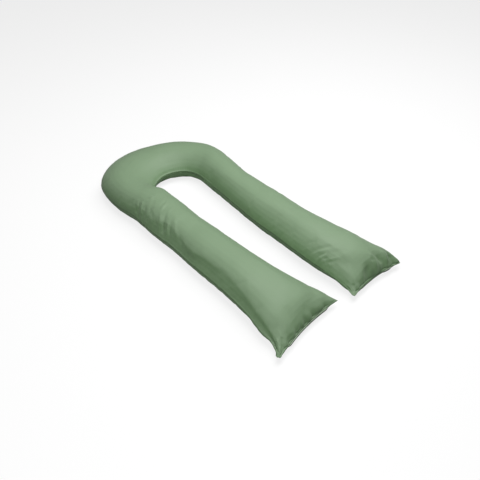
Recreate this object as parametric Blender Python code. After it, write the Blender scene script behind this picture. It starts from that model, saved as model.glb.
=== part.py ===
"""U-shaped body pillow, lying on its back.

One filled body, sewn from an upper and a lower panel along a seam that runs all
round the outline. Each leg flares to a square end that tapers down to the seam,
with a small ear at each corner, and carries a narrow folded welt on its end seam.

Metres, +Z up. The legs run along Y with their ends at -Y and the bend at +Y.
The finished pillow is centred over the origin, with its flat underside on z = 0.
"""
import math
from collections import namedtuple

import bmesh
import bpy
import numpy as np

# Driving dimensions
LEG_LENGTH = 1.02            # from the line of the leg ends to where the bend begins
SEAM_SHARE = 0.42            # the seam's height, as a share of the crown's height
END_SEAM_HEIGHT = 0.032      # the seam sinks to this height at the leg ends
END_THICKNESS = 0.006        # cloth and turnings at the end seam
END_DRAW_IN = 0.021          # how far the stuffing draws in the middle of an end seam
END_DRAW_REACH = 0.035       # and how fast that fades along the leg
SEAM_SINK_REACH = 0.20       # length over which the seam comes down to the end
SEAM_SINK_EASE = 0.7         # below 1 it comes down late and steeply
UNDERSIDE_REACH = 0.05       # the underside lifts off over this length at each end

# Roundness of the crown across the pillow: 2 is an ellipse, less is more pinched
CROWN_ROUNDNESS = 2.1
CROWN_ROUNDNESS_AT_ENDS = 1.6

# The turn from the flat underside up to the seam, along the sides and at the ends
UNDERSIDE_ROUNDNESS = 1.6
UNDERSIDE_ROUNDNESS_AT_ENDS = 2.1

# Mesh fineness: steps along the pillow and across it, from the inner seam to the outer
STATION_STEP = 0.020
CLOSE_STATIONS = (0.006, 0.013)   # extra sections where each end drops to its seam
STEPS = 14
ACROSS = [-math.cos(math.pi * step / STEPS) for step in range(STEPS + 1)]
CONTACT_SHARE = ACROSS[STEPS - 4]   # share of the width that lies flat on the surface

# Folded welt on each end seam, from one step across the leg to another
WELT_GAP = 0.0003
WELT_DEPTH = 0.004
WELT_THICKNESS = 0.006
WELT_PROFILE = (90, 50, 10, -30, -60, -90)   # angles round the welt's folded edge
WELT_STEPS_LEFT = (3, 11)
WELT_STEPS_RIGHT = (3, 11)

CLOTH_COLOUR = (0.215, 0.315, 0.185, 1.0)
CLOTH_ROUGHNESS = 0.55
CREASE_ANGLE = math.radians(50)   # edges sharper than this stay crisp in the shading

# One row per section of a leg. from_end is measured along the leg; outer and inner
# are the seam's distances from the pillow's middle line; crown is the full height.
LegSection = namedtuple("LegSection", "from_end outer inner crown")

LEFT_LEG = [
    LegSection(0.000, 0.384, 0.006, 0.035),
    LegSection(0.012, 0.394, 0.008, 0.062),
    LegSection(0.030, 0.380, 0.018, 0.090),
    LegSection(0.070, 0.364, 0.031, 0.115),
    LegSection(0.12, 0.364, 0.050, 0.129),
    LegSection(0.20, 0.350, 0.077, 0.142),
    LegSection(0.32, 0.336, 0.096, 0.152),
    LegSection(0.46, 0.327, 0.102, 0.152),
    LegSection(0.60, 0.324, 0.103, 0.150),
    LegSection(0.75, 0.315, 0.104, 0.150),
    LegSection(0.90, 0.316, 0.102, 0.154),
]
RIGHT_LEG = [
    LegSection(0.000, 0.366, 0.062, 0.036),
    LegSection(0.012, 0.374, 0.058, 0.064),
    LegSection(0.030, 0.373, 0.065, 0.093),
    LegSection(0.070, 0.366, 0.067, 0.119),
    LegSection(0.12, 0.343, 0.065, 0.134),
    LegSection(0.20, 0.322, 0.061, 0.146),
    LegSection(0.32, 0.300, 0.062, 0.152),
    LegSection(0.46, 0.289, 0.074, 0.150),
    LegSection(0.60, 0.292, 0.080, 0.150),
    LegSection(0.75, 0.299, 0.096, 0.150),
    LegSection(0.90, 0.304, 0.117, 0.150),
]
# Where the corners of each end seam lie along Y, outer corner first
LEFT_END_CORNERS = (-0.002, 0.030)
RIGHT_END_CORNERS = (-0.022, -0.004)

# One row per section of the bend, by the angle about the bend's centre, from the
# left leg (180 degrees) round the top to the right leg (0 degrees). inside is the
# crown's roundness on its inner half, where the panel meets the seam at a slope.
BendSection = namedtuple("BendSection", "angle outer inner crown inside")

BEND = [
    BendSection(180, 0.310, 0.106, 0.154, 2.00),
    BendSection(155, 0.353, 0.125, 0.144, 1.80),
    BendSection(130, 0.435, 0.154, 0.139, 1.65),
    BendSection(110, 0.456, 0.163, 0.136, 1.60),
    BendSection(90, 0.444, 0.170, 0.135, 1.60),
    BendSection(70, 0.428, 0.170, 0.136, 1.60),
    BendSection(50, 0.414, 0.167, 0.139, 1.65),
    BendSection(25, 0.383, 0.149, 0.144, 1.80),
    BendSection(0, 0.330, 0.130, 0.150, 2.00),
]

# Broad hollows where the cloth folds in near the ends. side is -1 for the left leg;
# from_end and across place the middle, reach_along and reach_across are half sizes.
Hollow = namedtuple("Hollow", "side from_end across reach_along reach_across depth")

HOLLOWS = [
    Hollow(1, 0.022, -0.15, 0.022, 0.17, 0.016),
    Hollow(1, 0.038, 0.36, 0.028, 0.17, 0.018),
    Hollow(1, 0.022, 0.70, 0.018, 0.12, 0.008),
    Hollow(-1, 0.016, -0.05, 0.018, 0.50, 0.004),
]


def smooth(at, knots, values):
    """Read a smooth curve through the rows' values at the places in `at`."""
    knots = np.asarray(knots, dtype=float)
    values = np.asarray(values, dtype=float).reshape(len(knots), -1)
    gaps = np.diff(knots)[:, None]
    slopes = np.diff(values, axis=0) / gaps
    tangents = np.vstack([slopes[:1], np.zeros_like(slopes[1:]), slopes[-1:]])
    tangents[1:-1] = (slopes[:-1] * gaps[1:] + slopes[1:] * gaps[:-1]) / (gaps[:-1] + gaps[1:])
    index = np.clip(np.searchsorted(knots, at, side="right") - 1, 0, len(gaps) - 1)
    gap = gaps[index]
    u = ((np.asarray(at) - knots[index])[:, None]) / gap
    return (
        (2 * u**3 - 3 * u**2 + 1) * values[index]
        + (u**3 - 2 * u**2 + u) * gap * tangents[index]
        + (3 * u**2 - 2 * u**3) * values[index + 1]
        + (u**3 - u**2) * gap * tangents[index + 1]
    )


def leg_rows(sections, corners, side):
    """Seam points (outer, inner), crown and inner roundness for one leg, end first."""
    rows = []
    for section in sections:
        share = section.from_end / LEG_LENGTH
        outer_y = corners[0] + (LEG_LENGTH - corners[0]) * share
        inner_y = corners[1] + (LEG_LENGTH - corners[1]) * share
        rows.append((
            side * section.outer, outer_y, side * section.inner, inner_y,
            section.crown, CROWN_ROUNDNESS,
        ))
    return rows


def bend_rows():
    """Seam points (outer, inner), crown and inner roundness for the bend's sections."""
    rows = []
    for section in BEND:
        angle = math.radians(section.angle)
        along_x, along_y = math.cos(angle), math.sin(angle)
        rows.append((
            section.outer * along_x, LEG_LENGTH + section.outer * along_y,
            section.inner * along_x, LEG_LENGTH + section.inner * along_y,
            section.crown, section.inside,
        ))
    return rows


def pillow_stations():
    """Sections from the left leg's end, round the bend, to the right leg's end.

    Each is its distance along the pillow's middle line, with the seam points, crown and
    inner roundness read from the smooth curve through the rows.
    """
    rows = np.array(
        leg_rows(LEFT_LEG, LEFT_END_CORNERS, -1)
        + bend_rows()
        + leg_rows(RIGHT_LEG, RIGHT_END_CORNERS, 1)[::-1]
    )
    middle = (rows[:, 0:2] + rows[:, 2:4]) / 2
    steps = np.linalg.norm(np.diff(middle, axis=0), axis=1)
    along = np.concatenate([[0.0], np.cumsum(steps)])
    total = along[-1]
    even = np.linspace(0.0, total, round(total / STATION_STEP) + 1)
    close = np.array(CLOSE_STATIONS)
    places = np.sort(np.concatenate([even, close, total - close]))
    return places, smooth(places, along, rows)


def blend(start, end, share):
    return start + (end - start) * share


def lame(share, roundness):
    """Height of a rounded arch at a share of its half width; roundness 2 is an ellipse."""
    return (1.0 - share**roundness) ** (1.0 / roundness)


def hollow_depth(side, from_end, across):
    """How far the broad hollows sink the crown at one place."""
    depth = 0.0
    for hollow in HOLLOWS:
        if hollow.side == side:
            along = (from_end - hollow.from_end) / hollow.reach_along
            over = (across - hollow.across) / hollow.reach_across
            depth += hollow.depth * math.exp(-(along**2 + over**2)) * (1.0 - across**2)
    return depth


def crown_profile(side, from_end, crown, inside, seam, settle):
    """Heights of the upper panel across one section, from the inner seam to the outer."""
    rise = max(crown - seam, END_THICKNESS / 2)
    profile = []
    for across in ACROSS:
        full = inside if across < 0 else CROWN_ROUNDNESS
        roundness = blend(CROWN_ROUNDNESS_AT_ENDS, full, settle)
        height = seam + rise * lame(abs(across), roundness)
        profile.append((across, height - hollow_depth(side, from_end, across)))
    return profile


def underside_profile(from_end, seam):
    """Heights of the lower panel across one section, from the outer seam back to the inner.

    The middle lies flat on the surface, and the panel turns up to the seam along the
    sides and at the leg ends.
    """
    end_lift = max(0.0, 1.0 - from_end / UNDERSIDE_REACH)
    roundness = blend(UNDERSIDE_ROUNDNESS, UNDERSIDE_ROUNDNESS_AT_ENDS, end_lift)
    highest = seam - END_THICKNESS / 2 * end_lift
    profile = []
    for across in reversed(ACROSS[1:-1]):
        side_lift = max(0.0, (abs(across) - CONTACT_SHARE) / (1.0 - CONTACT_SHARE))
        lift = min(1.0, math.hypot(side_lift, end_lift))
        profile.append((across, highest * (1.0 - lame(lift, roundness))))
    return profile


def pillow_rings():
    """The ring of points round each section: the upper panel first, then the lower one."""
    places, stations = pillow_stations()
    total = places[-1]
    rings = []
    for place, (outer_x, outer_y, inner_x, inner_y, crown, inside) in zip(places, stations):
        side = -1 if place < total / 2 else 1
        from_end = min(place, total - place)
        settle = min(1.0, from_end / SEAM_SINK_REACH) ** SEAM_SINK_EASE
        seam = blend(END_SEAM_HEIGHT, SEAM_SHARE * crown, settle)
        draw_in = END_DRAW_IN * math.exp(-from_end / END_DRAW_REACH)
        profile = crown_profile(side, from_end, crown, inside, seam, settle)
        profile += underside_profile(from_end, seam)
        ring = []
        for across, height in profile:
            share = (across + 1.0) / 2.0
            x = blend(inner_x, outer_x, share)
            y = blend(inner_y, outer_y, share) + draw_in * (1.0 - across**2)
            ring.append((x, y, height))
        rings.append(ring)
    return rings


def cloth_material(name):
    """Plain sage green cloth."""
    material = bpy.data.materials.new(name)
    material.use_nodes = True
    shader = material.node_tree.nodes["Principled BSDF"]
    shader.inputs["Base Color"].default_value = CLOTH_COLOUR
    shader.inputs["Roughness"].default_value = CLOTH_ROUGHNESS
    shader.inputs["Metallic"].default_value = 0.0
    return material


def finish_object(name, bm, material):
    """Turn a bmesh into a named object with its faces pointing out."""
    bmesh.ops.recalc_face_normals(bm, faces=bm.faces)
    mesh = bpy.data.meshes.new(name)
    bm.to_mesh(mesh)
    bm.free()
    mesh.materials.append(material)
    mesh.shade_smooth()
    mesh.set_sharp_from_angle(angle=CREASE_ANGLE)
    piece = bpy.data.objects.new(name, mesh)
    bpy.context.scene.collection.objects.link(piece)
    return piece


def skin_rings(bm, rings, closing_faces):
    """Quads between neighbouring rings; closing_faces shut the first and the last ring."""
    loops = [[bm.verts.new(point) for point in ring] for ring in rings]
    size = len(loops[0])
    for first, second in zip(loops, loops[1:]):
        for index in range(size):
            following = (index + 1) % size
            bm.faces.new((first[index], first[following], second[following], second[index]))
    for loop in (loops[0], loops[-1]):
        for face in closing_faces:
            bm.faces.new([loop[index] for index in face])


def build_pillow(rings):
    """The filled body: crown, underside and the thin end seams."""
    size = len(rings[0])
    end_faces = [(0, 1, size - 1), (STEPS - 1, STEPS, STEPS + 1)]
    end_faces += [(step, step + 1, size - step - 1, size - step) for step in range(1, STEPS - 1)]
    bm = bmesh.new()
    skin_rings(bm, rings, end_faces)
    return finish_object("pillow", bm, cloth_material("pillow_cloth"))


def build_welt(name, end_ring, steps):
    """A narrow folded strip along an end seam, a hair's breadth off the body."""
    upper = np.array(end_ring[:STEPS + 1])
    lower = np.array([end_ring[0]] + end_ring[:STEPS:-1] + [end_ring[STEPS]])
    middle = (upper + lower) / 2          # runs along the seam, from corner to corner
    run = np.gradient(middle[:, :2], axis=0)
    run /= np.linalg.norm(run, axis=1)[:, None]
    away = np.column_stack([run[:, 1], -run[:, 0]])
    away *= np.where(away[:, 1] > 0, -1, 1)[:, None]
    rings = []
    for step in range(steps[0], steps[1] + 1):
        points = []
        for angle in WELT_PROFILE:
            out = WELT_GAP + WELT_DEPTH * math.cos(math.radians(angle))
            up = WELT_THICKNESS / 2 * math.sin(math.radians(angle))
            x, y = middle[step, :2] + away[step] * out
            points.append((x, y, middle[step, 2] + up))
        rings.append(points)
    bm = bmesh.new()
    skin_rings(bm, rings, [tuple(range(len(WELT_PROFILE)))])
    return finish_object(name, bm, cloth_material(name + "_cloth"))


def centre_on_origin(pieces):
    """Move the meshes so that the whole stands over the origin, on z = 0."""
    points = np.array([vertex.co[:] for piece in pieces for vertex in piece.data.vertices])
    shift = -(points.min(axis=0) + points.max(axis=0)) / 2
    for piece in pieces:
        for vertex in piece.data.vertices:
            vertex.co.x += shift[0]
            vertex.co.y += shift[1]


def main():
    for item in list(bpy.data.objects):
        bpy.data.objects.remove(item, do_unlink=True)
    rings = pillow_rings()
    pieces = [
        build_pillow(rings),
        build_welt("end_welt_left", rings[0], WELT_STEPS_LEFT),
        build_welt("end_welt_right", rings[-1], WELT_STEPS_RIGHT),
    ]
    centre_on_origin(pieces)


main()
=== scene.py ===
# %% [markdown]
# # Dressing a U-shaped body pillow
# The imported model holds the pillow as plain closed solids at their real size. This lesson turns them into
# cloth: a cover that is blown up by a simulation, creased where the real one creases, sewn along
# its side seam and gathered into its two flat ends. Everything is in metres, +Z is up, the bend of the U
# points to +Y and its two open ends to -Y.

# %% Load the imported model
import math

import bpy
import numpy as np
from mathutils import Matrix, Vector, kdtree, noise


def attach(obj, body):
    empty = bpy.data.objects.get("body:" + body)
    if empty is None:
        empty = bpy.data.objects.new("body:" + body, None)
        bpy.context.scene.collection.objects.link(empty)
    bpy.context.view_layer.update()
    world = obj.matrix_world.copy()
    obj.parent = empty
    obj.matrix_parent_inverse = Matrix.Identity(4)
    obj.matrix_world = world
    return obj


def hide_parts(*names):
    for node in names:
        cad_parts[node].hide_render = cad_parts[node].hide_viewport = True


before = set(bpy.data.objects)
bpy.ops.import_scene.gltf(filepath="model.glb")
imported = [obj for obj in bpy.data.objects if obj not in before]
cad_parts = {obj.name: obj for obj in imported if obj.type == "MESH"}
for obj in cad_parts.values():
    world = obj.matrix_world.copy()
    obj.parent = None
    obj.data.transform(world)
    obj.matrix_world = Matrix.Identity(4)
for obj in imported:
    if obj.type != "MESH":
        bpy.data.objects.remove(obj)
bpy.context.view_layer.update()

# %% [markdown]
# ## The camera
# A camera is placed by what it looks at, how far away it stands, and two angles. That keeps the framing easy
# to correct, because each number changes one thing. The picture is square, 480 by 480, so the lens follows
# from how many pixels one metre fills at a distance of one metre.

# %% Place the camera
PICTURE_SIDE = 480
PIXELS_AT_ONE_METRE = 538.2
SENSOR = 36.0
LOOKS_AT = Vector((-0.0425, -0.1598, 0.05))
CAMERA_AZIMUTH = math.radians(-43.77)
CAMERA_ELEVATION = math.radians(41.47)
CAMERA_DISTANCE = 2.4535


def on_a_sphere(azimuth, elevation, distance, centre):
    """A place `distance` from a centre. Azimuth 0 is towards -Y, and elevation is above the floor."""
    level = math.cos(elevation)
    return centre + distance * Vector(
        (math.sin(azimuth) * level, -math.cos(azimuth) * level, math.sin(elevation))
    )


bpy.ops.object.select_all(action="DESELECT")
camera_place = on_a_sphere(CAMERA_AZIMUTH, CAMERA_ELEVATION, CAMERA_DISTANCE, LOOKS_AT)
bpy.ops.object.camera_add(
    location=camera_place,
    rotation=(LOOKS_AT - camera_place).to_track_quat("-Z", "Y").to_euler(),
)
camera = bpy.context.object
camera.name = "camera"
camera.data.sensor_width = SENSOR
camera.data.lens = PIXELS_AT_ONE_METRE / PICTURE_SIDE * SENSOR
bpy.context.scene.camera = camera
print("camera at", [round(x, 3) for x in camera_place], "lens", round(camera.data.lens, 2), "mm")

# %% [markdown]
# ## Small tools for shaping cloth
# Sculpting by hand means pushing a patch of surface in or out with a soft brush. The helpers below do that
# in code: they read a mesh's points as an array, measure how far each point lies from a line drawn on the
# plan, and push it along its own normal. A soft brush is a bell curve across the line that fades at both
# ends of it.

# %% Read, write and select mesh points
def only(piece):
    """Select one object and nothing else."""
    bpy.ops.object.select_all(action="DESELECT")
    piece.select_set(True)
    bpy.context.view_layer.objects.active = piece


def read_triples(values, name):
    flat = np.empty(len(values) * 3, np.float32)
    values.foreach_get(name, flat)
    return flat.reshape(-1, 3).astype(float)


def points_of(piece):
    return read_triples(piece.data.vertices, "co")


def normals_of(piece):
    return read_triples(piece.data.vertex_normals, "vector")


def set_points(piece, points):
    piece.data.vertices.foreach_set("co", points.astype(np.float32).ravel())
    piece.data.update()


def apply_modifier(piece, kind, **settings):
    """Add one modifier with these settings and apply it, as its menu does."""
    modifier = piece.modifiers.new(kind.title(), kind)
    for name, value in settings.items():
        setattr(modifier, name, value)
    only(piece)
    bpy.ops.object.modifier_apply(modifier=modifier.name)


def smooth_step(x):
    """0 below 0, 1 above 1, and an easy curve between."""
    x = np.clip(x, 0.0, 1.0)
    return x * x * (3.0 - 2.0 * x)


def bell(x):
    return np.exp(-x * x)


# %% Measure points against a line on the plan
LEFT_AT_ENDS = 0.25      # share of a stroke's height left at its ends


def along_a_line(points, line):
    """Each point's distance from a line of (x, y) corners, and its place along that line, 0 to 1."""
    corners = np.array(line, float)
    steps = np.diff(corners, axis=0)
    lengths = np.linalg.norm(steps, axis=1)
    starts = np.concatenate([[0.0], np.cumsum(lengths)])
    nearest = np.full(len(points), np.inf)
    place = np.zeros(len(points))
    for corner, step, length, start in zip(corners, steps, lengths, starts):
        share = ((points[:, :2] - corner) @ step) / length**2
        held = np.clip(share, 0.0, 1.0)
        distance = np.linalg.norm(points[:, :2] - corner - held[:, None] * step, axis=1)
        closer = distance < nearest
        nearest[closer] = distance[closer]
        place[closer] = (start + held[closer] * length) / starts[-1]
    return nearest, place


def stroke(points, line, width, height, fade=0.3):
    """A soft ridge, or a trough where height is below 0, `width` to each side of a line on the plan."""
    distance, place = along_a_line(points, line)
    ends = smooth_step(place / fade) * smooth_step((1.0 - place) / fade)
    return height * bell(distance / width) * (LEFT_AT_ENDS + (1.0 - LEFT_AT_ENDS) * ends)


print("brushes ready")

# %% [markdown]
# ## The cover as a mesh of quads
# A cover is two U-shaped panels of cloth sewn together along one line that runs round the whole side. The
# copied solid is made of loose triangles, so its corners are merged first, and its triangles are joined
# back into quads, which bend evenly. The sewing line is where faces that look up meet faces that look down:
# it is marked as a seam, and that mark stays with the mesh however often it is subdivided.

# %% Copy the solid and turn it into quads
MERGE = 0.00002
WIDE_OPEN = math.radians(180)


def copy_of_node(node, name):
    """A new object with a copy of a CAD node's mesh, merged, with no material."""
    piece = bpy.data.objects.new(name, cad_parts[node].data.copy())
    bpy.context.scene.collection.objects.link(piece)
    piece.data.name = name
    piece.data.materials.clear()
    only(piece)
    bpy.ops.object.mode_set(mode="EDIT")
    bpy.ops.mesh.select_all(action="SELECT")
    bpy.ops.mesh.remove_doubles(threshold=MERGE)
    bpy.ops.mesh.tris_convert_to_quads(face_threshold=WIDE_OPEN, shape_threshold=WIDE_OPEN)
    bpy.ops.object.mode_set(mode="OBJECT")
    return piece


cover = copy_of_node("pillow", "pillow_cover")
left_over = sum(len(face.vertices) == 3 for face in cover.data.polygons)
print("cover:", len(cover.data.polygons), "faces,", left_over, "of them triangles")

# %% Mark the sewing line
SIDE_LOOK = 0.02


def looks_up(face):
    return face.normal.z > SIDE_LOOK


def sewing_edges(piece):
    """Edges where the upper panel ends: one of their two faces looks up, and the other doesn't."""
    faces_at = {}
    for face in piece.data.polygons:
        for key in face.edge_keys:
            faces_at.setdefault(key, []).append(face)
    return [
        edge for edge in piece.data.edges
        if sum(looks_up(face) for face in faces_at[edge.key]) == 1
    ]


for edge in sewing_edges(cover):
    edge.use_seam = True
print("sewing line of", sum(edge.use_seam for edge in cover.data.edges), "edges")

# %% [markdown]
# ## Lay the cloth out flat
# Cloth has a grain, and it should run evenly over the crown and down the sides. Unwrapping along the sewing
# line lays the upper and the lower panel out flat, as they were before they were sewn. Each is then turned
# so that its grain runs along the pillow, and brought to real size: one unit of the map is one metre of
# cloth. This is done early, while there are few faces, because subdividing carries the map along.

# %% Unwrap the two panels
def area_on_map(layer, face):
    """The area that a face takes up on the map."""
    at = [complex(*layer[loop].uv) for loop in face.loop_indices]
    return abs(sum((at[i] * np.conj(at[i - 1])).imag for i in range(len(at)))) / 2


def set_out_panel(piece, faces, mirror):
    """Turn and scale the map of these faces so that it runs along +Y at real size."""
    layer = piece.data.uv_layers.active.data
    loops = [loop for face in faces for loop in face.loop_indices]
    at = np.array([complex(*layer[loop].uv) for loop in loops])
    corners = [piece.data.vertices[piece.data.loops[loop].vertex_index].co for loop in loops]
    plan = np.array([complex(mirror * corner.x, corner.y) for corner in corners])
    at -= at.mean()
    turn = np.sum(np.conj(at) * (plan - plan.mean()))
    size = math.sqrt(sum(face.area for face in faces) / sum(area_on_map(layer, face) for face in faces))
    for loop, place in zip(loops, at * turn / abs(turn) * size):
        layer[loop].uv = (place.real, place.imag)
    return size


only(cover)
bpy.ops.object.mode_set(mode="EDIT")
bpy.ops.mesh.select_all(action="SELECT")
bpy.ops.uv.unwrap(method="ANGLE_BASED", margin=0.01)
bpy.ops.object.mode_set(mode="OBJECT")
for panel, upwards, mirror in (("upper", True, 1), ("lower", False, -1)):
    faces = [face for face in cover.data.polygons if looks_up(face) == upwards]
    size = set_out_panel(cover, faces, mirror)
    print(panel, "panel:", len(faces), "faces, scaled by", round(size, 2))

# %% [markdown]
# ## Split the faces without rounding them
# The cloth needs more points than the solid has, but a subdivision rounds everything, and would draw the
# seam and the two straight ends in. An edge crease of 1 on every edge stops that: the first subdivision only
# splits the faces, and moves none of the points that are there already.

# %% Crease every edge
only(cover)
bpy.ops.object.mode_set(mode="EDIT")
bpy.ops.mesh.select_all(action="SELECT")
bpy.ops.transform.edge_crease(value=1.0)
bpy.ops.object.mode_set(mode="OBJECT")
print("creased", sum(edge.select for edge in cover.data.edges), "edges")

# %% Split the faces
apply_modifier(cover, "SUBSURF", levels=1, render_levels=1)
print("cover after one subdivision:", len(cover.data.vertices), "points")

# %% [markdown]
# ## Blow the cover up
# Filling pushes a cover outwards until the cloth goes tight, and where there is more cloth than the filling
# needs, it puckers. Blender's Cloth with pressure does the same. Gravity is off, because the pillow already
# lies in its settled shape. The sewing line and the face that lies on the floor are pinned, and how far any
# other point may move is capped, so the outline stays the real one.

# %% Simulate
LAST_FRAME = 20
FURTHEST_MOVE = 0.006
SLACK = 0.003
FLOOR_TOUCH = 0.004      # what is lower lies on the floor
COTTON = {
    "quality": 6,
    "tension_stiffness": 20,
    "compression_stiffness": 20,
    "bending_stiffness": 0.4,
    "use_pressure": True,
    "uniform_pressure_force": 4.0,
    "shrink_min": -0.004,
}


def seam_points(piece):
    """The indices of the points on the sewing line."""
    return sorted({i for edge in piece.data.edges if edge.use_seam for i in edge.vertices})


def blow_up(piece):
    """Fill the piece, which starts a little too small, because it swells."""
    before = points_of(piece)
    on_floor = [int(i) for i in np.nonzero(before[:, 2] < FLOOR_TOUCH)[0]]
    held = piece.vertex_groups.new(name="held")
    pinned = sorted(set(seam_points(piece)) | set(on_floor))
    held.add(pinned, 1.0, "REPLACE")
    slack = np.full((len(before), 1), SLACK)
    slack[pinned] = 0.0
    before = before - normals_of(piece) * slack
    set_points(piece, before)
    cloth = piece.modifiers.new("Cloth", "CLOTH")
    for name, value in COTTON.items():
        setattr(cloth.settings, name, value)
    cloth.settings.vertex_group_mass = held.name
    cloth.settings.effector_weights.gravity = 0
    cloth.point_cache.frame_start = 1
    cloth.point_cache.frame_end = LAST_FRAME
    for number in range(1, LAST_FRAME + 1):
        bpy.context.scene.frame_set(number)
    only(piece)
    bpy.ops.object.modifier_apply(modifier=cloth.name)
    move = points_of(piece) - before
    length = np.maximum(np.linalg.norm(move, axis=1, keepdims=True), 1e-9)
    move *= FURTHEST_MOVE * np.tanh(length / FURTHEST_MOVE) / length
    set_points(piece, before + move)
    print("cloth moved up to", round(float(np.linalg.norm(move, axis=1).max()) * 1000, 1), "mm")


blow_up(cover)

# %% [markdown]
# ## Keep the wrinkles, not the swelling
# The simulation gives fine wrinkles, but it also swells the crown and slackens the shoulders by a few
# millimetres. To keep only the wrinkles, each point's distance from the solid is measured along its normal
# and averaged with its neighbours' over a few centimetres. That average is the swelling and comes off.

# %% Bring the broad shape back to the solid's
SPREADING_ROUNDS = 12
FLOOR_EASE = 0.012       # below this height less and less is taken off


def spread(piece, values, rounds):
    """Average each point's value with those of its neighbours, a few times over."""
    ends = np.array([edge.vertices[:] for edge in piece.data.edges])
    count = 1.0 + np.bincount(ends.ravel(), minlength=len(values))
    for _ in range(rounds):
        total = values.copy()
        np.add.at(total, ends[:, 0], values[ends[:, 1]])
        np.add.at(total, ends[:, 1], values[ends[:, 0]])
        values = total / count
    return values


def bring_back(piece, solid):
    """Take the swelling off, and leave the fine wrinkles."""
    points, out = points_of(piece), normals_of(piece)
    nearest = np.array([tuple(solid.closest_point_on_mesh(point)[1]) for point in points])
    short = np.einsum("ij,ij->i", nearest - points, out)
    short = spread(piece, short, SPREADING_ROUNDS) * smooth_step(points[:, 2] / FLOOR_EASE)
    short[seam_points(piece)] = 0.0
    set_points(piece, points + out * short[:, None])
    print("brought back by", [round(float(x) * 1000, 1) for x in (short.min(), short.max())], "mm")


bring_back(cover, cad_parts["pillow"])

# %% [markdown]
# ## Even cloth across the legs
# At this stage soft light from above shows faint lines that run across each leg. Cloth is tight there and
# would lie evenly, so the upper side is smoothed round these places before it is divided again.

# %% Smooth the cover across the legs
# name: (lowest x, highest x, lowest y, highest y, lowest z, highest z)
TIGHT_CLOTH = {
    "left leg": (-0.36, -0.10, -0.075, 0.055, 0.060, 0.200),
    "right leg": (0.05, 0.33, -0.050, 0.180, 0.060, 0.200),
}
SMOOTHING_ROUNDS = 12


def inside(place, box):
    return all(low < value < high for value, low, high in zip(place, box[::2], box[1::2]))


only(cover)
bpy.context.tool_settings.mesh_select_mode = (True, False, False)
bpy.ops.object.mode_set(mode="EDIT")
bpy.ops.mesh.select_all(action="DESELECT")
bpy.ops.object.mode_set(mode="OBJECT")
for point in cover.data.vertices:
    point.select = any(inside(point.co, box) for box in TIGHT_CLOTH.values())
bpy.ops.object.mode_set(mode="EDIT")
bpy.ops.mesh.vertices_smooth(factor=0.5, repeat=SMOOTHING_ROUNDS)
bpy.ops.object.mode_set(mode="OBJECT")
print("smoothed", sum(point.select for point in cover.data.vertices), "points")

# %% Divide it for the folds
apply_modifier(cover, "SUBSURF", levels=1, render_levels=1)
print("cover for sculpting:", len(cover.data.vertices), "points")

# %% [markdown]
# ## More points where the folds are small
# The gathers at the two ends, the creases of the legs and the ridge inside the bend are a centimetre wide or
# less. Splitting every face would waste points on the plain stretches, so only the faces inside a few boxes
# are selected and subdivided once more.

# %% Split the faces where the cloth is gathered
FINE_PATCHES = {
    "left end": (-0.40, 0.02, -0.76, -0.655, 0.026, 0.13),
    "right end": (0.04, 0.40, -0.76, -0.665, 0.026, 0.13),
    "creases beside the bend": (-0.33, -0.19, -0.03, 0.31, 0.050, 0.16),
    "creases inside the right leg": (0.06, 0.17, -0.60, -0.45, 0.050, 0.14),
    "seam inside the bend": (-0.07, 0.18, 0.22, 0.50, 0.035, 0.085),
}


def split_faces(piece, box):
    only(piece)
    for face in piece.data.polygons:
        face.select = inside(face.center, box)
    bpy.context.tool_settings.mesh_select_mode = (False, False, True)
    bpy.ops.object.mode_set(mode="EDIT")
    bpy.ops.mesh.subdivide(number_cuts=1)
    bpy.ops.mesh.select_all(action="DESELECT")
    bpy.ops.object.mode_set(mode="OBJECT")


for place, box in FINE_PATCHES.items():
    split_faces(cover, box)
    print(place, "->", len(cover.data.vertices), "points")

# %% [markdown]
# ## Where is a point on the pillow?
# Every fold below is placed by how far it lies from the sewing line, or by a line drawn on the plan. So the
# nearest sewn point is found once for each point of the cover, and the upper panel is what lies above it.
# All the folds are added up in one array, the relief, which says how far each point moves along its normal.

# %% Measure every point from the sewing line
END_LINE = -0.675        # what is sewn beyond this belongs to the ends
UPPER_EASE = 0.006


def tree_of(places):
    """A search tree that finds the nearest of these places."""
    tree = kdtree.KDTree(len(places))
    for i, place in enumerate(places):
        tree.insert(place, i)
    tree.balance()
    return tree


def find_nearest(points, line):
    """For each point: the nearest of the places along a line, and the distance to it."""
    tree = tree_of(line)
    found = [tree.find(point) for point in points]
    return np.array([tuple(place) for place, _, _ in found]), np.array([gap for _, _, gap in found])


flat = points_of(cover)
outward = normals_of(cover)
sewn = flat[seam_points(cover)]
sewn_at, sewn_gap = find_nearest(flat, sewn)
_, end_gap = find_nearest(flat, sewn[sewn[:, 1] < END_LINE])
upper = smooth_step((flat[:, 2] - sewn_at[:, 2]) / UPPER_EASE)
relief = np.zeros(len(flat))
print("furthest from the sewing line:", round(float(sewn_gap.max()) * 1000), "mm")

# %% [markdown]
# ## Flat sides and shoulders
# On the real pillow the sides aren't evenly round. Between the sewing line and a wavy shoulder the cloth is
# pulled tight into a nearly flat facet, and the light changes at that shoulder. The outer side of the left
# leg is steep up to a clear shoulder, and the inner side of the right leg leans more gently. Each table
# says where the shoulder runs, in x at each y. A round side is made flat by pressing it in most half way up:
# the depth is a parabola from the sewing line to the shoulder, with its ends eased.

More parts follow.
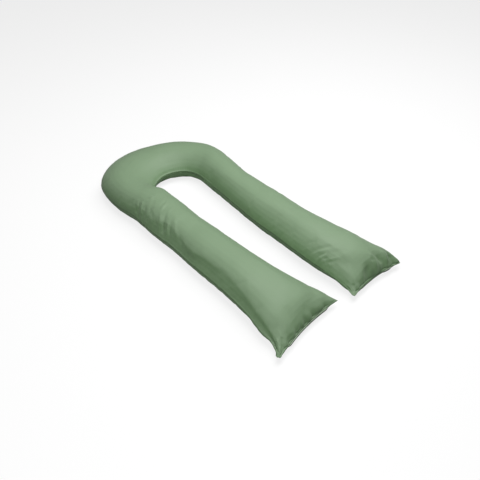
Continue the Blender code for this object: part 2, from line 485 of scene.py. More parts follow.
# %% Measure how far up the cloth a shoulder lies
# (y, x of the shoulder)
LEFT_SHOULDER = (
    (0.300, -0.277), (0.260, -0.281), (0.220, -0.281), (0.180, -0.290), (0.140, -0.286),
    (0.100, -0.268), (0.060, -0.262), (0.020, -0.273), (-0.020, -0.275), (-0.060, -0.285),
    (-0.100, -0.291), (-0.140, -0.295), (-0.180, -0.286), (-0.220, -0.286), (-0.260, -0.289),
    (-0.300, -0.279), (-0.340, -0.284), (-0.380, -0.291), (-0.420, -0.298), (-0.460, -0.308),
    (-0.500, -0.314), (-0.540, -0.322), (-0.580, -0.328), (-0.620, -0.336), (-0.660, -0.350),
)
RIGHT_SHOULDER = (
    (0.200, 0.175), (0.000, 0.160), (-0.200, 0.158), (-0.400, 0.158), (-0.600, 0.150), (-0.700, 0.130),
)
EASE_ALONG = 0.020       # each shoulder is averaged over this far to both sides
EDGE_EASE = 0.15         # how soft a facet's edge is at the shoulder
SIDE_EASE = 0.1          # and at the seam


def read_table(rows, at):
    """Straight reading between the rows of a table of (place, value), whose places go down."""
    places, values = zip(*reversed(rows))
    return np.interp(at, places, values)


def way_up(rows, side):
    """How far up each point lies: 0 at the sewing line and 1 at the shoulder that the table gives."""
    of_side = np.nonzero(side & (upper > 0.5))[0]
    tree = tree_of([(flat[i, 0], flat[i, 1], 0.0) for i in of_side])
    places = [place for place, _ in reversed(rows)]
    reach = [sewn_gap[of_side[tree.find((x, y, 0.0))[1]]] for y, x in reversed(rows)]
    readings = [np.interp(flat[:, 1] + shift, places, reach) for shift in (-EASE_ALONG, 0.0, EASE_ALONG)]
    return sewn_gap / np.mean(readings, axis=0)


def pressed_in(way):
    """How far a flat facet lies below the round side, 1 half way up and 0 at the seam and the shoulder."""
    arch = 4.0 * way * (1.0 - way)
    rounded = 0.5 * (arch + np.sqrt(arch * arch + EDGE_EASE * EDGE_EASE))
    return rounded * smooth_step(way / SIDE_EASE)


def within(values, low, high, ease):
    """1 between low and high, falling to 0 over `ease` outside them."""
    return smooth_step((values - low + ease) / ease) * smooth_step((high + ease - values) / ease)


# %% Press the sides flat
# name: (shoulder, lowest and highest x of its sewing line, depth, lowest y, highest y, ease)
FACETS = {
    "left leg, outside": (LEFT_SHOULDER, -0.40, -0.25, 0.0072, -0.640, 0.090, 0.060),
    "left leg, bend": (LEFT_SHOULDER, -0.40, -0.25, 0.0030, 0.150, 0.280, 0.060),
    "right leg, inside": (RIGHT_SHOULDER, 0.02, 0.16, 0.0046, -0.600, -0.180, 0.150),
    "right leg, beside the bend": (RIGHT_SHOULDER, 0.06, 0.17, 0.0035, 0.000, 0.250, 0.100),
}
for name, (rows, low_x, high_x, depth, low_y, high_y, ease) in FACETS.items():
    side = (sewn_at[:, 0] > low_x) & (sewn_at[:, 0] < high_x)
    press = depth * pressed_in(way_up(rows, side)) * within(flat[:, 1], low_y, high_y, ease)
    relief -= press * side * upper
    print(name, "pressed in by up to", round(float((press * side).max()) * 1000, 1), "mm")

# %% [markdown]
# ## Under the right leg
# Below the seam the lower panel turns in towards the floor. Along the inner side of the right leg hardly
# any of that panel shows, so it is drawn in a little further there.

# %% Draw the lower panel in
UNDER_RIGHT_LEG = ((0.02, 0.17, 0.01), (-0.60, 0.20, 0.06))      # x and y: lowest, highest, ease
UNDER_AT = 0.026
UNDER_REACH = 0.018
UNDER_DEPTH = 0.0060

drawn_in = UNDER_DEPTH * bell((sewn_gap - UNDER_AT) / UNDER_REACH) * (1.0 - upper)
for axis, span in enumerate(UNDER_RIGHT_LEG):
    drawn_in *= within(sewn_at[:, axis], *span)
relief -= drawn_in
print("lower panel drawn in by up to", round(float(drawn_in.max()) * 1000, 1), "mm")

# %% [markdown]
# ## A fuller crown
# Where the sides are pulled flat, the filling goes up into the middle. So the crown stands a little higher
# along the middle of each leg, and slopes down from there all the way to the shoulders.

# %% Raise the middle
CROWN_RISE = 0.0035
CROWN_STARTS = 0.050
CROWN_EASE = 0.070

relief += CROWN_RISE * smooth_step((sewn_gap - CROWN_STARTS) / CROWN_EASE) * upper
print("crown raised by", CROWN_RISE * 1000, "mm")

# %% [markdown]
# ## The wall above each end seam
# Towards its end each leg drops from a brow down to the sewn edge. The brow is softer than the solid's, and
# the wall below it meets the edge in a narrow crevice.

# %% Ease the brows and press in the crevice
# name: (lowest x, highest x, distance of the brow from the seam, how far it's pressed in)
END_BROWS = {
    "left": (-0.24, -0.09, 0.075, 0.0075),
    "left, beside the ear": (-0.33, -0.26, 0.070, 0.0020),
    "right": (0.14, 0.27, 0.090, 0.0065),
}
BROW_EASE = 0.04
BROW_WIDTH = 0.038
CREVICE_AT = 0.0045
CREVICE_WIDTH = 0.0035
CREVICE_DEPTH = 0.0022

for low_x, high_x, brow_at, press in END_BROWS.values():
    brow = bell((end_gap - brow_at) / BROW_WIDTH) * within(flat[:, 0], low_x, high_x, BROW_EASE)
    relief -= press * brow * upper
relief -= CREVICE_DEPTH * bell((end_gap - CREVICE_AT) / CREVICE_WIDTH) * upper
print(len(END_BROWS), "brows eased")

# %% [markdown]
# ## Fuller places, and a ridge inside the bend
# Where the left leg leaves the bend its inner side is stuffed fuller, so the leg covers the corner of the
# hollow. Three of the four ears at the leg ends are full to the tip. Beside the seam inside the bend the
# turnings push up a thin ridge.

# %% Fill these places and raise the ridge
# (x, y, radius, height)
BULGES = (
    (-0.100, 0.335, 0.050, 0.0130),
    (-0.100, 0.270, 0.050, 0.0050),
    (-0.100, 0.200, 0.050, 0.0030),
    (0.368, -0.733, 0.016, 0.0055),
    (-0.014, -0.690, 0.012, 0.0030),
    (-0.374, -0.708, 0.012, 0.0035),
)
BEND_SEAM = ((-0.07, 0.18, 0.01), (0.25, 0.50, 0.03))        # x and y: lowest, highest, ease
# (distance from the seam, width, height)
RIDGE = (0.0075, 0.0032, 0.0022)
BELOW_RIDGE = (0.0030, 0.0030, -0.0012)

for x, y, radius, height in BULGES:
    relief += height * bell(np.hypot(flat[:, 0] - x, flat[:, 1] - y) / radius) * upper
inside_bend = upper.copy()
for axis, span in enumerate(BEND_SEAM):
    inside_bend *= within(sewn_at[:, axis], *span)
for distance, width, height in (RIDGE, BELOW_RIDGE):
    relief += height * bell((sewn_gap - distance) / width) * inside_bend
print(len(BULGES), "fuller places")

# %% [markdown]
# ## Creases placed one by one
# These are the creases that show in the cover, one row each: a line on the plan from one end of the crease
# to the other, how wide it is to each side, and how high. A trough has a height below 0. Most are short and
# steep where the left leg meets the bend, and near the right leg's end they run up from its inner side.

# %% Creases
# (from x, from y, to x, to y, width, height)
BEND_CREASES = (
    (-0.261, 0.303, -0.292, 0.285, 0.0060, 0.0022),
    (-0.249, 0.278, -0.298, 0.247, 0.0060, 0.0030),
    (-0.266, 0.216, -0.292, 0.198, 0.0050, 0.0016),
    (-0.200, 0.260, -0.228, 0.246, 0.0080, 0.0016),
    (-0.165, 0.210, -0.226, 0.186, 0.0090, 0.0018),
    (-0.188, 0.163, -0.242, 0.164, 0.0080, 0.0016),
    (-0.248, 0.131, -0.282, 0.127, 0.0070, 0.0024),
    (-0.276, 0.121, -0.305, 0.109, 0.0055, 0.0030),
    (-0.260, 0.075, -0.298, 0.054, 0.0055, 0.0030),
    (-0.226, 0.068, -0.288, -0.006, 0.0080, 0.0024),
    (-0.280, 0.167, -0.294, 0.157, 0.0045, 0.0014),
    (-0.283, 0.292, -0.301, 0.276, 0.0050, -0.0024),
    (-0.268, 0.286, -0.296, 0.266, 0.0045, -0.0026),
    (-0.264, 0.240, -0.300, 0.221, 0.0060, -0.0028),
    (-0.264, 0.203, -0.298, 0.136, 0.0080, -0.0026),
    (-0.234, 0.121, -0.304, 0.079, 0.0070, -0.0040),
    (-0.274, 0.154, -0.296, 0.126, 0.0050, -0.0020),
    (-0.248, 0.068, -0.302, 0.034, 0.0070, -0.0034),
    (-0.262, 0.006, -0.292, -0.052, 0.0090, -0.0026),
    (-0.150, 0.300, -0.190, 0.262, 0.0090, 0.0012),
    (-0.186, 0.250, -0.232, 0.262, 0.0070, 0.0020),
    (-0.180, 0.180, -0.250, 0.150, 0.0075, 0.0024),
    (-0.250, 0.150, -0.292, 0.095, 0.0065, 0.0022),
    (-0.190, 0.130, -0.238, 0.112, 0.0075, 0.0016),
)
RIGHT_LEG_CREASES = (
    (0.076, -0.479, 0.122, -0.527, 0.0055, 0.0026),
    (0.073, -0.512, 0.105, -0.536, 0.0050, 0.0026),
    (0.077, -0.522, 0.086, -0.551, 0.0050, 0.0024),
    (0.084, -0.548, 0.133, -0.591, 0.0060, 0.0026),
    (0.080, -0.567, 0.096, -0.584, 0.0045, 0.0016),
    (0.082, -0.471, 0.152, -0.541, 0.0080, -0.0034),
    (0.076, -0.501, 0.106, -0.528, 0.0045, -0.0026),
    (0.081, -0.528, 0.100, -0.549, 0.0050, -0.0024),
    (0.074, -0.538, 0.106, -0.578, 0.0050, -0.0024),
    (0.074, -0.552, 0.083, -0.576, 0.0045, -0.0018),
    (0.114, -0.535, 0.158, -0.583, 0.0120, -0.0026),
)
BEND_SHARE = 0.7         # makes all of a group's creases shallower
RIGHT_LEG_SHARE = 0.6


def add_creases(rows):
    total = np.zeros(len(flat))
    for from_x, from_y, to_x, to_y, width, height in rows:
        total += stroke(flat, ((from_x, from_y), (to_x, to_y)), width, height)
    return total * upper


relief += BEND_SHARE * add_creases(BEND_CREASES) + RIGHT_LEG_SHARE * add_creases(RIGHT_LEG_CREASES)
print(len(BEND_CREASES) + len(RIGHT_LEG_CREASES), "creases")

# %% [markdown]
# ## The gathered ends
# Each leg ends in a straight sewn edge that is narrower than the cloth above it, so the cloth is gathered
# into small pleats there: pinched tight at the edge, and opening out within a few centimetres. The right
# end has fallen in besides, in two hollows with a ridge between them.

# %% Pleats
# (x, how far up it reaches, width at the edge, height)
LEFT_PLEATS = (
    (-0.069, 0.030, 0.010, -0.0039),
    (-0.115, 0.022, 0.008, -0.0026),
    (-0.139, 0.040, 0.011, -0.0059),
    (-0.161, 0.034, 0.007, 0.0034),
    (-0.190, 0.036, 0.010, -0.0055),
    (-0.205, 0.030, 0.006, 0.0029),
    (-0.221, 0.030, 0.007, -0.0044),
    (-0.251, 0.042, 0.010, -0.0060),
    (-0.269, 0.034, 0.007, 0.0034),
    (-0.298, 0.032, 0.010, -0.0047),
    (-0.318, 0.026, 0.007, 0.0026),
)
RIGHT_PLEATS = (
    (0.096, 0.026, 0.007, -0.0034),
    (0.112, 0.024, 0.006, 0.0023),
    (0.128, 0.028, 0.007, -0.0044),
    (0.145, 0.030, 0.007, -0.0049),
    (0.154, 0.022, 0.005, 0.0023),
    (0.163, 0.026, 0.007, -0.0044),
    (0.281, 0.030, 0.008, -0.0034),
    (0.345, 0.030, 0.008, -0.0039),
)
PLEAT_OPENING = 0.6      # how much wider a pleat is at the end of its reach


def add_pleats(rows, on_this_leg):
    """Pleats that start at the sewn end and widen as they fade up the cloth."""
    total = np.zeros(len(flat))
    for x, reach, width, height in rows:
        opened = width * (1.0 + PLEAT_OPENING * end_gap / reach)
        total += height * bell((flat[:, 0] - x) / opened) * bell(end_gap / reach)
    return total * on_this_leg * upper


relief += add_pleats(LEFT_PLEATS, flat[:, 0] < 0) + add_pleats(RIGHT_PLEATS, flat[:, 0] > 0)
print(len(LEFT_PLEATS) + len(RIGHT_PLEATS), "pleats")

# %% Hollows and folds of the two ends
# (points on the plan, width, height, how slowly it fades in from its ends)
END_FOLDS = (
    (((0.240, -0.650), (0.249, -0.684), (0.238, -0.712)), 0.0085, 0.0090, 0.3),
    (((0.316, -0.670), (0.314, -0.698), (0.307, -0.718)), 0.0075, 0.0070, 0.3),
    (((0.155, -0.706), (0.190, -0.698), (0.224, -0.700)), 0.0140, -0.0090, 0.4),
    (((0.270, -0.672), (0.284, -0.700), (0.300, -0.720)), 0.0120, -0.0090, 0.5),
    (((0.338, -0.685), (0.340, -0.730)), 0.0130, -0.0085, 0.5),
    (((0.100, -0.690), (0.078, -0.712)), 0.0060, -0.0030, 0.2),
    (((-0.352, -0.655), (-0.372, -0.708)), 0.0060, -0.0030, 0.2),
    (((-0.338, -0.668), (-0.362, -0.712)), 0.0060, 0.0026, 0.2),
    (((-0.320, -0.680), (-0.346, -0.708)), 0.0070, -0.0034, 0.2),
)
for line, width, height, fade in END_FOLDS:
    relief += stroke(flat, line, width, height, fade) * upper
print(len(END_FOLDS), "hollows and folds at the ends")

# %% [markdown]
# ## Loose filling
# The filling is never quite even: the cloth rises and sinks by a millimetre or two over a hand's width, and
# it puckers beside the sewing line, where the thread draws it in. Both come from Blender's noise, which
# gives the same value at the same place on every run.

# %% Lumps and puckers
# (size of the lumps, how far they rise)
LUMPS = ((0.110, 0.0022), (0.045, 0.0008))
PUCKER_SPACING = 0.016
PUCKER_REACH = 0.022
PUCKER_HEIGHT = 0.0010
PUCKER_SHIFT = 7.0       # reads the puckers elsewhere in the noise
RESTING_EASE = 0.012
STEADY_REACH = 0.003     # the sewing line itself stays where it is


def noise_at(points, size, shift=0.0):
    return np.array([noise.noise(Vector(point) / size + Vector((shift, 0, 0))) for point in points])


above_floor = smooth_step(flat[:, 2] / RESTING_EASE)
for size, rise in LUMPS:
    relief += rise * noise_at(flat, size) * above_floor
puckers = noise_at(sewn_at, PUCKER_SPACING, PUCKER_SHIFT) * bell(sewn_gap / PUCKER_REACH)
relief += PUCKER_HEIGHT * puckers * above_floor

relief *= smooth_step(sewn_gap / STEADY_REACH)
set_points(cover, flat + outward * relief[:, None])
print("relief from", round(relief.min() * 1000, 1), "to", round(relief.max() * 1000, 1), "mm")

# %% [markdown]
# ## The sewn side seam
# The two panels are sewn face to face and turned, so the seam is a fine tight groove with a soft roll of
# cloth to each side of it. Bevelling the marked edges lays two narrow strips along it. The middle line
# between them is then drawn in.

# %% Bevel the seam and draw its middle in
SEAM_WIDTH = 0.0022
SEAM_DEPTH = 0.0014
SEAM_ROLL = 0.0006
ROLL_SPREAD = 0.6        # how wide the roll is, in seam widths
SAMPLES_PER_EDGE = 8

shaped = points_of(cover)
sewing_line = np.concatenate([
    np.linspace(shaped[edge.vertices[0]], shaped[edge.vertices[1]], SAMPLES_PER_EDGE)
    for edge in cover.data.edges if edge.use_seam
])
only(cover)
for edge in cover.data.edges:
    edge.select = edge.use_seam
bpy.context.tool_settings.mesh_select_mode = (False, True, False)
bpy.ops.object.mode_set(mode="EDIT")
bpy.ops.mesh.bevel(offset=SEAM_WIDTH, segments=2, profile=0.5, affect="EDGES")
bpy.ops.object.mode_set(mode="OBJECT")

_, gap = find_nearest(points_of(cover), sewing_line)
push = SEAM_ROLL * bell((gap / SEAM_WIDTH - 1.0) / ROLL_SPREAD)
push -= SEAM_DEPTH * (gap < SEAM_WIDTH / 2)
set_points(cover, points_of(cover) + normals_of(cover) * push[:, None])
print("cover with its seam:", len(cover.data.vertices), "points,", len(cover.data.polygons), "faces")

# %% [markdown]
# ## Painted shade where the cloth is darkest
# Little light reaches the stitching and the depths of the folds at the two ends, and shape alone leaves
# them lighter than they are. So an attribute on the mesh says how near each point is to stitching or to the
# bottom of such a fold, and the finish is given a deeper tone there. That deeper tone is painted shade.

# %% Mark the painted shade at the stitching and in the deep folds
SEWN_REACH = 0.004
PAINTED_SHADE_SHARE = 0.7
DEEPEST_HEIGHT = 0.11
DEEPEST_EASE = 0.03
DEEP_FADE = 0.15
# (points on the plan, width, share of the painted shade)
PAINTED_FOLD_SHADE = (
    (((0.160, -0.716), (0.190, -0.707), (0.230, -0.709)), 0.0170, 1.0),
    (((0.130, -0.718), (0.160, -0.716)), 0.0070, 0.7),
    (((0.256, -0.712), (0.300, -0.716)), 0.0120, 0.8),
    (((0.322, -0.716), (0.350, -0.722), (0.380, -0.738)), 0.0260, 1.0),
    (((0.338, -0.680), (0.356, -0.705), (0.368, -0.735)), 0.0180, 0.9),
    (
        ((-0.300, -0.703), (-0.250, -0.694), (-0.190, -0.685), (-0.100, -0.682), (-0.060, -0.684)),
        0.0045, 0.8,
    ),
)


def note_painted_shade(piece, near):
    """Keep how deep the painted shade is at each point, 0 to 1, as an attribute for the cloth's finish."""
    attribute = piece.data.attributes.new("sewn", "FLOAT", "POINT")
    attribute.data.foreach_set("value", near.astype(np.float32))


cloth = points_of(cover)
deep = np.max([stroke(cloth, line, width, share, DEEP_FADE) for line, width, share in PAINTED_FOLD_SHADE], axis=0)
deep *= smooth_step((DEEPEST_HEIGHT - cloth[:, 2]) / DEEPEST_EASE)
# Painted shade: a darker tone along the seam groove and in the bottoms of the end folds, kept as the 'sewn'
# attribute.
note_painted_shade(cover, PAINTED_SHADE_SHARE * np.maximum(bell(gap / SEWN_REACH), deep))
print(int((deep > 0.5).sum()), "points lie deep in a fold")

# %% [markdown]
# ## The end welts
# Each end is closed by a narrow strip of the same cloth, folded over the turnings and pressed. It is two
# layers lying on each other, so its front edge isn't one round bead: there is a fine dark line between the
# upper layer, which catches the light, and the lower one, which hangs down a little. A copy of the strip is
# rounded by two subdivisions, its front is shaped into the two layers, and it is given a slight wave. Then
# its ends are made slim and tucked in, and it is turned down where the cloth has pulled it under. Its
# finish is painted paler on top and darker at the sides, and its underside, its back and the parts turned
# down get painted shade.

# %% Read a strip along its length
WELT_BINS = 24


def along_strip(points, read):
    """What `read` finds in each short length of a strip that runs along x, at every point of the strip."""
    edges = np.linspace(points[:, 0].min(), points[:, 0].max(), WELT_BINS + 1)
    bins = np.clip(np.digitize(points[:, 0], edges) - 1, 0, WELT_BINS - 1)
    values = [read(points[bins == i]) for i in range(WELT_BINS)]
    return np.interp(points[:, 0], (edges[:-1] + edges[1:]) / 2, values)


def middle_height(points):
    return along_strip(points, lambda part: (part[:, 2].min() + part[:, 2].max()) / 2)


def back_edge(points):
    """The edge that the strip is sewn along."""
    return along_strip(points, lambda part: part[:, 1].max())


# %% Shape its two layers
# Places up the strip are in half heights: -1 at its underside, 0 at its middle and 1 on top.
WELT_HALF = 0.003
# (place up the strip, width, how far out)
UPPER_LAYER = (0.45, 0.30, 0.0007)
BETWEEN_LAYERS = (-0.10, 0.16, -0.0018)
# (highest place up the strip, ease, how far out)
LOWER_LAYER = (-0.2, 0.5, 0.0020)


def shape_layers(points, out, up):
    """Push the front of a strip into its two layers."""
    facing = np.clip(-out[:, 1], 0.0, 1.0)
    push = np.zeros(len(points))
    for place, width, height in (UPPER_LAYER, BETWEEN_LAYERS):
        push += height * bell((up - place) / width)
    highest, ease, height = LOWER_LAYER
    push += height * smooth_step((highest - up) / ease)
    return points + out * (push * facing)[:, None]


# %% Say how much painted shade each of its points gets
# (highest place up the strip, ease)
UNDERSIDE = (0.2, 0.4)
# (how far it reaches from the back edge, as a share of the strip's width, ease, share of the painted shade)
BACK = (0.65, 0.2, 0.4)
TURNED_SHARE = 0.8


def shaded(up, reach, turn):
    """How deep the painted shade is: 1 on the underside, less at the back, and more the further it is turned
    down.
    """
    highest, underside_ease = UNDERSIDE
    furthest, back_ease, share = BACK
    return np.max([
        smooth_step((highest - up) / underside_ease),
        share * smooth_step((furthest - reach / reach.max()) / back_ease),
        TURNED_SHARE * np.sin(turn),
    ], axis=0)


# %% Fold the two strips
# (highest place up the strip, ease, how far down)
LOWER_HANG = (0.0, 0.6, 0.0045)
WAVE_LENGTH = 0.024
WAVE_HEIGHT = 0.0007
WAVE_ROW = 0.5           # the row of the noise that the wave is read from
TAPER = 0.035            # the length over which an end grows slim
SLIMMEST = 0.05
TUCKED_IN = 0.003
# node: (x, how far the strip has turned down, in degrees)
DROOP = {
    "end_welt_left": ((-0.033, 60), (-0.060, 0), (-0.300, 0), (-0.330, 60)),
    "end_welt_right": ((0.340, 75), (0.328, 70), (0.320, 0), (0.288, 0), (0.280, 70), (0.105, 60)),
}


def lay_strip(piece):
    """A map at real size: the strip's length along the map, and its way round the fold across it."""
    layer = piece.data.uv_layers.new(name="UVMap").data
    for loop in piece.data.loops:
        x, y, z = piece.data.vertices[loop.vertex_index].co
        layer[loop.index].uv = (z - y, x)


def fold_welt(node):
    piece = copy_of_node(node, node + "_strip")
    only(piece)
    bpy.ops.object.mode_set(mode="EDIT")
    bpy.ops.mesh.select_all(action="SELECT")
    bpy.ops.mesh.subdivide(number_cuts=2)
    bpy.ops.object.mode_set(mode="OBJECT")
    apply_modifier(piece, "SUBSURF", levels=2, render_levels=2)
    points = points_of(piece)
    up = (points[:, 2] - middle_height(points)) / WELT_HALF
    points = shape_layers(points, normals_of(piece), up)
    points[:, 2] += WAVE_HEIGHT * np.array([
        noise.noise(Vector((x / WAVE_LENGTH, 0.0, WAVE_ROW))) for x in points[:, 0]
    ])
    highest, ease, height = LOWER_HANG
    hang = height * smooth_step((highest - up) / ease)
    turn = np.radians(read_table(DROOP[node], points[:, 0]))
    to_end = np.minimum(points[:, 0] - points[:, 0].min(), points[:, 0].max() - points[:, 0])
    slim = SLIMMEST + (1.0 - SLIMMEST) * smooth_step(to_end / TAPER)
    reach = back_edge(points) - points[:, 1]
    rise = points[:, 2] - middle_height(points)
    turned_in = reach * np.cos(turn) + rise * np.sin(turn)
    turned_up = rise * np.cos(turn) - reach * np.sin(turn)
    points[:, 1] += reach - slim * turned_in + TUCKED_IN * (1.0 - slim)
    points[:, 2] += slim * (turned_up - hang) - rise
    set_points(piece, points)
    lay_strip(piece)
    # The strip's painted shade goes into its 'sewn' attribute.
    note_painted_shade(piece, shaded(up, reach, turn))
    only(piece)
    bpy.ops.object.shade_smooth()
    return piece


welts = {node: fold_welt(node) for node in ("end_welt_left", "end_welt_right")}
for node, piece in welts.items():
    print(node, "->", piece.name, len(piece.data.polygons), "faces")

# %% [markdown]
# ## Sateen
# The cover is a plain cotton sateen. Its surface is mostly long threads that lie side by side along the
# pillow, so it is smooth, with a soft wide gloss. Looked at closely, a tone that wanders a little, faint
# streaks where a thread is thicker, the threads themselves and a fine crinkle break it up. All of it is one
# node group, because the welts are cut from the same cloth. The group reads the map that was laid out at
# real size, so a thread is as wide on the side as on the crown.

# %% Nodes with short names
def plug(tree, socket, value):
    """Feed a socket from another node's output, or give it a plain value."""
    if isinstance(value, bpy.types.NodeSocket):
        tree.links.new(value, socket)
    else:
        socket.default_value = value


def feed(tree, node, **sockets):
    """Plug the inputs of a node that the keywords name."""
    for name, value in sockets.items():
        plug(tree, node.inputs[name.replace("_", " ")], value)
    return node


def add_node(tree, kind, **sockets):
    return feed(tree, tree.nodes.new(kind), **sockets)


def blend_values(tree, kind, share, first, second):
    """A Mix node for floats or colours: `share` of the second laid over the first."""
    node = tree.nodes.new("ShaderNodeMix")
    node.data_type = kind
    plugs = [socket for socket in node.inputs if socket.type == ("VALUE" if kind == "FLOAT" else kind)]
    for socket, value in zip((node.inputs["Factor"], *plugs[-2:]), (share, first, second)):
        plug(tree, socket, value)
    return [socket for socket in node.outputs if socket.enabled][0]


def work_out(tree, operation, *values):
    """What a Math node makes of these outputs and numbers."""
    node = tree.nodes.new("ShaderNodeMath")
    node.operation = operation
    for socket, value in zip(node.inputs, values):
        plug(tree, socket, value)
    return node.outputs[0]


# %% The sateen group's sockets
TONE_SIZE = 0.11
STREAK_WIDTH = 0.0016
STREAK_LENGTH = 0.09
FLOAT_THREADS = 4.0
CRINKLE_SIZE = 0.014
TONE_SWING = 0.035
STREAK_SHARE = 0.35
WEAR = (1.6, -0.3)       # contrast and lift of the worn places
# Painted light and shade: the cloth takes its paler crown tone where it faces up and its deeper side tone
# where it faces sideways.
SIDE_NORMAL = 0.25       # how far up the cloth looks where it has its side tone
CROWN_NORMAL = 0.85      # and where it has its crown tone
GROOVE = 0.00008         # between two threads

sateen = bpy.data.node_groups.new("sateen", "ShaderNodeTree")
# The crown and side tones are painted light and painted shade, and the sewn tone with its share is painted
# shade.
for name, kind, value in (
    ("Map", "Vector", None),
    ("Crown Tone", "Color", (0.19, 0.28, 0.17, 1.0)),
    ("Side Tone", "Color", (0.16, 0.28, 0.13, 1.0)),
    ("Sewn Tone", "Color", (0.12, 0.20, 0.10, 1.0)),
    ("Sewn", "Float", 0.0),
    ("Thread Width", "Float", 0.0005),
    ("Thread Height", "Float", 0.00005),
    ("Crinkle Height", "Float", 0.0001),
    ("Smoothest", "Float", 0.45),
    ("Roughest", "Float", 0.6),
):
    socket = sateen.interface.new_socket(name=name, in_out="INPUT", socket_type="NodeSocket" + kind)
    if value is not None:
        socket.default_value = value
for name, kind in {"Colour": "Color", "Roughness": "Float", "Height": "Float"}.items():
    sateen.interface.new_socket(name=name, in_out="OUTPUT", socket_type="NodeSocket" + kind)
given = sateen.nodes.new("NodeGroupInput").outputs
result = sateen.nodes.new("NodeGroupOutput").inputs
print("sateen takes", ", ".join(given.keys()[:-1]))

# %% Its tone and its gloss
tone = add_node(sateen, "ShaderNodeTexNoise", Vector=given["Map"], Scale=1 / TONE_SIZE, Detail=3.0)
stretched = add_node(
    sateen, "ShaderNodeMapping", Vector=given["Map"], Scale=(1 / STREAK_WIDTH, 1 / STREAK_LENGTH, 1.0)
)
streak = add_node(sateen, "ShaderNodeTexNoise", Vector=stretched.outputs["Vector"], Scale=1.0, Detail=2.0)
wander = blend_values(sateen, "FLOAT", STREAK_SHARE, tone.outputs["Fac"], streak.outputs["Fac"])
surface = add_node(sateen, "ShaderNodeNewGeometry")
looking = add_node(sateen, "ShaderNodeSeparateXYZ", Vector=surface.outputs["Normal"])
upturned = add_node(sateen, "ShaderNodeMapRange", Value=looking.outputs["Z"])
upturned.interpolation_type = "SMOOTHSTEP"
feed(sateen, upturned, From_Min=SIDE_NORMAL, From_Max=CROWN_NORMAL)
# Painted light and shade: up-facing cloth gets the paler crown tone, sideways cloth the deeper side tone.
painted_light_and_shade = blend_values(
    sateen, "RGBA", upturned.outputs["Result"], given["Side Tone"], given["Crown Tone"]
)
shift = add_node(sateen, "ShaderNodeHueSaturation", Color=painted_light_and_shade)
feed(sateen, shift, Value=work_out(sateen, "MULTIPLY_ADD", wander, 2 * TONE_SWING, 1.0 - TONE_SWING))
# Painted shade: the darker tone is laid over the cloth where the 'sewn' attribute says.
cloth_tone = blend_values(sateen, "RGBA", given["Sewn"], shift.outputs["Color"], given["Sewn Tone"])
plug(sateen, result["Colour"], cloth_tone)
worn = work_out(sateen, "MULTIPLY_ADD", tone.outputs["Fac"], *WEAR)
gloss = blend_values(sateen, "FLOAT", worn, given["Smoothest"], given["Roughest"])
plug(sateen, result["Roughness"], gloss)
print("with tone and gloss:", len(sateen.nodes), "nodes")

# %% Its threads
# A Brick texture is a quick weave of long threads: the bricks are the stretches where a thread lies on top.
turned = add_node(sateen, "ShaderNodeMapping", Vector=given["Map"], Rotation=(0.0, 0.0, math.pi / 2))
threads = add_node(
    sateen, "ShaderNodeTexBrick", Vector=turned.outputs["Vector"], Scale=1.0, Color1=(1, 1, 1, 1),
    Color2=(0.8, 0.8, 0.8, 1), Mortar=(0, 0, 0, 1), Row_Height=given["Thread Width"],
    Brick_Width=work_out(sateen, "MULTIPLY", given["Thread Width"], FLOAT_THREADS),
    Mortar_Size=GROOVE, Mortar_Smooth=1.0,
)
crinkle = add_node(sateen, "ShaderNodeTexNoise", Vector=given["Map"], Scale=1 / CRINKLE_SIZE, Detail=2.0)
woven = work_out(sateen, "MULTIPLY", threads.outputs["Color"], given["Thread Height"])
crinkled = work_out(sateen, "MULTIPLY", crinkle.outputs["Fac"], given["Crinkle Height"])
plug(sateen, result["Height"], work_out(sateen, "ADD", woven, crinkled))
print("sateen group:", len(sateen.nodes), "nodes")

# %% Two finishes from one cloth
# name: (crown tone with painted light, side tone with painted shade, tone of the painted shade, crinkle
# height)
FINISHES = {
    "sage_sateen": ((0.190, 0.278, 0.169, 1), (0.162, 0.278, 0.133, 1), (0.11, 0.19, 0.09, 1), 0.00010),
    "sage_sateen_welt": ((0.32, 0.41, 0.29, 1), (0.14, 0.22, 0.12, 1), (0.03, 0.05, 0.025, 1), 0.00005),
}
SHEEN = 0.08
GLOSS = 0.25
SHEEN_ROUGHNESS = 0.5


def cloth_finish(name, crown, side, sewn, crinkle_height):
    finish = bpy.data.materials.new(name)
    finish.use_nodes = True
    tree = finish.node_tree
    laid_out = add_node(tree, "ShaderNodeTexCoord")
    # The 'sewn' attribute holds painted shade at the seam, in the end folds and on the welts.
    painted_shade_mask = add_node(tree, "ShaderNodeAttribute")
    painted_shade_mask.attribute_name = "sewn"
    cloth = add_node(tree, "ShaderNodeGroup")
    cloth.node_tree = sateen
    feed(
        tree, cloth, Map=laid_out.outputs["UV"], Sewn=painted_shade_mask.outputs["Fac"], Crown_Tone=crown,
        Side_Tone=side, Sewn_Tone=sewn, Crinkle_Height=crinkle_height,
    )
    bump = add_node(tree, "ShaderNodeBump", Distance=1.0, Height=cloth.outputs["Height"])
    feed(
        tree, tree.nodes["Principled BSDF"], Base_Color=cloth.outputs["Colour"],
        Roughness=cloth.outputs["Roughness"], Normal=bump.outputs["Normal"],
        Specular_IOR_Level=GLOSS, Sheen_Weight=SHEEN, Sheen_Roughness=SHEEN_ROUGHNESS,
    )
    return finish


finishes = {name: cloth_finish(name, *tones) for name, tones in FINISHES.items()}
only(cover)
bpy.ops.object.shade_smooth()
cover.data.materials.append(finishes["sage_sateen"])
for piece in welts.values():
    piece.data.materials.append(finishes["sage_sateen_welt"])
print("finishes:", ", ".join(finishes))

# %% Say what each piece rides on and stands for
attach(cover, "root")
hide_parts("pillow")
for node, piece in welts.items():
    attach(piece, "root")
    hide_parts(node)
print("pieces:", ", ".join(piece.name for piece in (cover, *welts.values())))

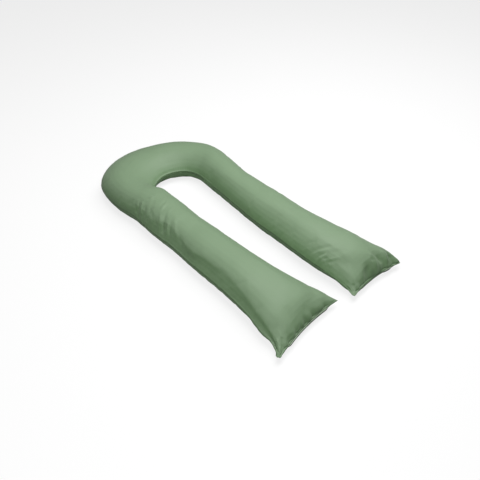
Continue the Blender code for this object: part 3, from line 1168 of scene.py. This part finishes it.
# %% [markdown]
# ## Floor and light
# The pillow lies on a plain white floor. A big soft lamp stands high on its right side, another hangs
# straight above, a weak one near the camera opens the shadows, and the surround adds a trace of light. Seen
# by the camera the floor is a bright white that takes only a faint shadow. For the light that bounces off
# it, it is a duller white, so that the low sides of the pillow stay dark.

# %% Floor
FLOOR_SIDE = 16.0
FLOOR_BOUNCE = (0.40, 0.40, 0.40, 1.0)
FLOOR_WHITE = (0.92, 0.92, 0.92, 1.0)
FLOOR_GLOW = 0.80

bpy.ops.object.select_all(action="DESELECT")
bpy.ops.mesh.primitive_plane_add(size=FLOOR_SIDE, location=(0, 0, 0))
floor = bpy.context.object
floor.name = "floor"

floor_finish = bpy.data.materials.new("floor_white")
floor_finish.use_nodes = True
tree = floor_finish.node_tree
tree.nodes.clear()
ray = add_node(tree, "ShaderNodeLightPath")
bounce = add_node(tree, "ShaderNodeBsdfDiffuse", Color=FLOOR_BOUNCE)
seen = add_node(tree, "ShaderNodeBsdfDiffuse", Color=FLOOR_WHITE)
glow = add_node(tree, "ShaderNodeEmission")
bright = add_node(tree, "ShaderNodeMixShader", Fac=FLOOR_GLOW)
plug(tree, bright.inputs[1], seen.outputs["BSDF"])
plug(tree, bright.inputs[2], glow.outputs["Emission"])
choose = add_node(tree, "ShaderNodeMixShader", Fac=ray.outputs["Is Camera Ray"])
plug(tree, choose.inputs[1], bounce.outputs["BSDF"])
plug(tree, choose.inputs[2], bright.outputs["Shader"])
add_node(tree, "ShaderNodeOutputMaterial", Surface=choose.outputs["Shader"])
floor.data.materials.append(floor_finish)
print("floor of", FLOOR_SIDE, "m")

# %% Light
# name: (azimuth, elevation, distance, side, watts)
LAMPS = {
    "key": (90, 60, 3.0, 1.5, 50.0),
    "overhead": (0, 89, 3.0, 1.5, 62.0),
    "fill": (-45, 30, 3.0, 1.5, 22.0),
}
SURROUND = 0.05

for name, (azimuth, elevation, distance, side, watts) in LAMPS.items():
    place = on_a_sphere(math.radians(azimuth), math.radians(elevation), distance, Vector((0, 0, 0)))
    facing_in = (-place).to_track_quat("-Z", "Y").to_euler()
    bpy.ops.object.light_add(type="AREA", location=place, rotation=facing_in)
    lamp = bpy.context.object
    lamp.name = name
    lamp.data.size = side
    lamp.data.energy = watts
world = bpy.data.worlds.new("surround")
bpy.context.scene.world = world
world.use_nodes = True
world.node_tree.nodes["Background"].inputs["Color"].default_value = (1, 1, 1, 1)
world.node_tree.nodes["Background"].inputs["Strength"].default_value = SURROUND
bpy.context.scene.view_settings.view_transform = "Standard"
print("lamps:", ", ".join(LAMPS))
